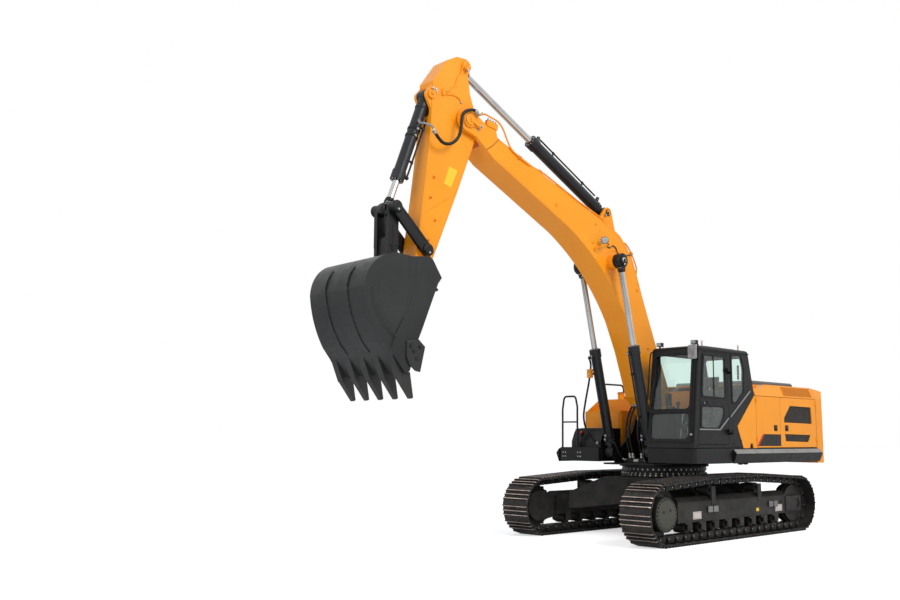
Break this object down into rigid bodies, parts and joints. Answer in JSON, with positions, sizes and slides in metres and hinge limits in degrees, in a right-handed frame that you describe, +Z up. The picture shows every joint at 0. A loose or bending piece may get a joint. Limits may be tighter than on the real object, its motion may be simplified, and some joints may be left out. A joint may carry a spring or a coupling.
{
  "type": "crawler excavator",
  "caption": "Crawler excavator: a house with cab and engine bay turns on two tracks and carries a hinged boom, arm and bucket worked by cylinders.",
  "frame": {"origin": "middle of the whole machine's box in plan, on the ground under the tracks", "axes": "+X forward along the boom, +Y to the cab's side, +Z up"},
  "size_m": [10.5033, 3.19, 7.2879],
  "materials": {
    "undercarriage_steel": "satin black paint, dusty",
    "track_steel": "dark rolled steel with polished edges",
    "deck_black": "satin charcoal paint",
    "hood_grey": "satin grey paint",
    "body_yellow": "gloss orange-yellow paint",
    "engine_iron": "rough painted iron",
    "grille_black": "matte black paint",
    "exhaust_steel": "heat-dulled dark paint",
    "cab_black": "satin black paint",
    "tinted_glass": "clear, lightly green-tinted",
    "seat_fabric": "woven dark cloth",
    "console_plastic": "grained dark plastic",
    "fitting_black": "satin black paint",
    "linkage_black": "satin black paint",
    "bucket_steel": "satin dark grey paint, worn at the edges",
    "tooth_steel": "cast and painted dark",
    "barrel_grey": "satin blue-grey paint",
    "rod_chrome": "polished hard chrome"
  },
  "bodies": {
    "undercarriage": {"carbody": "undercarriage_steel", "carbody_legs": "undercarriage_steel", "slewing_ring": "undercarriage_steel", "track_frame_left": "undercarriage_steel", "track_frame_right": "undercarriage_steel", "track_left": "track_steel", "track_right": "track_steel", "sprocket_left": "undercarriage_steel", "sprocket_right": "undercarriage_steel", "idler_left": "undercarriage_steel", "idler_right": "undercarriage_steel", "rollers_left": "undercarriage_steel", "rollers_right": "undercarriage_steel"},
    "house": {"house_frame": "deck_black", "deck_left": "deck_black", "deck_right": "deck_black", "catwalk_left": "deck_black", "catwalk_right": "deck_black", "counterweight": "body_yellow", "engine_block": "engine_iron", "body_shell": "body_yellow", "front_panel": "body_yellow", "exhaust": "exhaust_steel", "fuel_tank": "body_yellow", "hydraulic_tank": "body_yellow", "tool_box": "deck_black", "handrails": "deck_black", "cab_shell": "cab_black", "cab_glass": "tinted_glass", "seat": "seat_fabric", "consoles": "console_plastic", "cab_fittings": "fitting_black"},
    "cab_door_leaf": {"cab_door": "cab_black", "door_glass": "tinted_glass"},
    "left_front_door": {"door_left_front": "body_yellow"},
    "left_rear_door": {"door_left_rear": "body_yellow", "grilles_left": "grille_black"},
    "right_door": {"door_right": "body_yellow"},
    "hood": {"engine_hood": "hood_grey"},
    "boom_body": {"boom": "body_yellow"},
    "boom_barrels": {"boom_barrel_left": "barrel_grey", "boom_barrel_right": "barrel_grey"},
    "boom_rods": {"boom_rod_left": "rod_chrome", "boom_rod_right": "rod_chrome"},
    "arm_body": {"arm": "body_yellow"},
    "arm_barrel_body": {"arm_barrel": "barrel_grey"},
    "arm_rod_body": {"arm_rod": "rod_chrome"},
    "bucket_barrel_body": {"bucket_barrel": "barrel_grey"},
    "bucket_rod_body": {"bucket_rod": "rod_chrome"},
    "rocker": {"rocker_links": "linkage_black"},
    "bucket_link": {"h_link": "linkage_black"},
    "bucket_body": {"bucket": "bucket_steel", "bucket_teeth": "tooth_steel"}
  },
  "joints": [
    {"name": "swing", "type": "hinge", "parent": "undercarriage", "child": "house", "pos_m": [-1.7517, 0, 0.985], "axis": [0, 0, 1], "continuous": true},
    {"name": "boom_lift", "type": "hinge", "parent": "house", "child": "boom_body", "pos_m": [-1.6017, 0, 2], "axis": [0, -1, 0], "range_deg": [-82, 20]},
    {"name": "arm_swing", "type": "hinge", "parent": "boom_body", "child": "arm_body", "pos_m": [3.1933, 0, 6.312], "axis": [0, -1, 0], "range_deg": [-18, 80]},
    {"name": "bucket_curl", "type": "hinge", "parent": "arm_body", "child": "bucket_body", "pos_m": [4.0383, 0, 3.74], "axis": [0, -1, 0], "range_deg": [-120, 28]},
    {"name": "boom_barrel_swing", "type": "hinge", "parent": "house", "child": "boom_barrels", "pos_m": [-0.8117, 0, 1.396], "axis": [0, -1, 0], "range_deg": [-87, 22]},
    {"name": "boom_rod_slide", "type": "slide", "parent": "boom_barrels", "child": "boom_rods", "axis": [0.2324, 0, 0.9726], "range_m": [-1.234, 0.302]},
    {"name": "arm_barrel_swing", "type": "hinge", "parent": "boom_body", "child": "arm_barrel_body", "pos_m": [-0.1117, 0, 5.495], "axis": [0, -1, 0], "range_deg": [-2, 1]},
    {"name": "arm_rod_slide", "type": "slide", "parent": "arm_barrel_body", "child": "arm_rod_body", "axis": [0.8924, 0, 0.4512], "range_m": [-1.088, 0.246]},
    {"name": "bucket_barrel_swing", "type": "hinge", "parent": "arm_body", "child": "bucket_barrel_body", "pos_m": [3.8423, 0, 6.558], "axis": [0, -1, 0], "range_deg": [-3, 1.5]},
    {"name": "bucket_rod_slide", "type": "slide", "parent": "bucket_barrel_body", "child": "bucket_rod_body", "axis": [0.3305, 0, -0.9438], "range_m": [-0.217, 0.925]},
    {"name": "rocker_swing", "type": "hinge", "parent": "arm_body", "child": "rocker", "pos_m": [3.9143, 0, 4.232], "axis": [0, -1, 0], "range_deg": [-77, 18.5]},
    {"name": "bucket_link_swing", "type": "hinge", "parent": "rocker", "child": "bucket_link", "pos_m": [4.4723, 0, 4.759], "axis": [0, -1, 0], "range_deg": [-11, 43]},
    {"name": "cab_door_swing", "type": "hinge", "parent": "house", "child": "cab_door_leaf", "pos_m": [-1.6117, 1.552, 2.2], "axis": [0, 0, 1], "range_deg": [0, 175]},
    {"name": "left_front_door_swing", "type": "hinge", "parent": "house", "child": "left_front_door", "pos_m": [-2.4557, 1.5, 1.9], "axis": [0, 0, 1], "range_deg": [-110, 0]},
    {"name": "left_rear_door_swing", "type": "hinge", "parent": "house", "child": "left_rear_door", "pos_m": [-4.5777, 1.5, 1.9], "axis": [0, 0, 1], "range_deg": [0, 110]},
    {"name": "right_door_swing", "type": "hinge", "parent": "house", "child": "right_door", "pos_m": [-4.5777, -1.5, 1.9], "axis": [0, 0, -1], "range_deg": [0, 110]},
    {"name": "hood_swing", "type": "hinge", "parent": "house", "child": "hood", "pos_m": [-4.4457, 0, 2.612], "axis": [0, -1, 0], "range_deg": [0, 60]}
  ],
  "couplings": [
    {"joint": "boom_barrel_swing", "follows": "boom_lift", "ratio": 1.0518},
    {"joint": "boom_rod_slide", "follows": "boom_lift", "m_per_rad": 0.861},
    {"joint": "arm_barrel_swing", "follows": "arm_swing", "ratio": -0.0133},
    {"joint": "arm_rod_slide", "follows": "arm_swing", "m_per_rad": -0.778},
    {"joint": "rocker_swing", "follows": "bucket_curl", "ratio": 0.6367},
    {"joint": "bucket_link_swing", "follows": "bucket_curl", "ratio": -0.3527},
    {"joint": "bucket_barrel_swing", "follows": "bucket_curl", "ratio": 0.015},
    {"joint": "bucket_rod_slide", "follows": "bucket_curl", "m_per_rad": -0.4411}
  ]
}
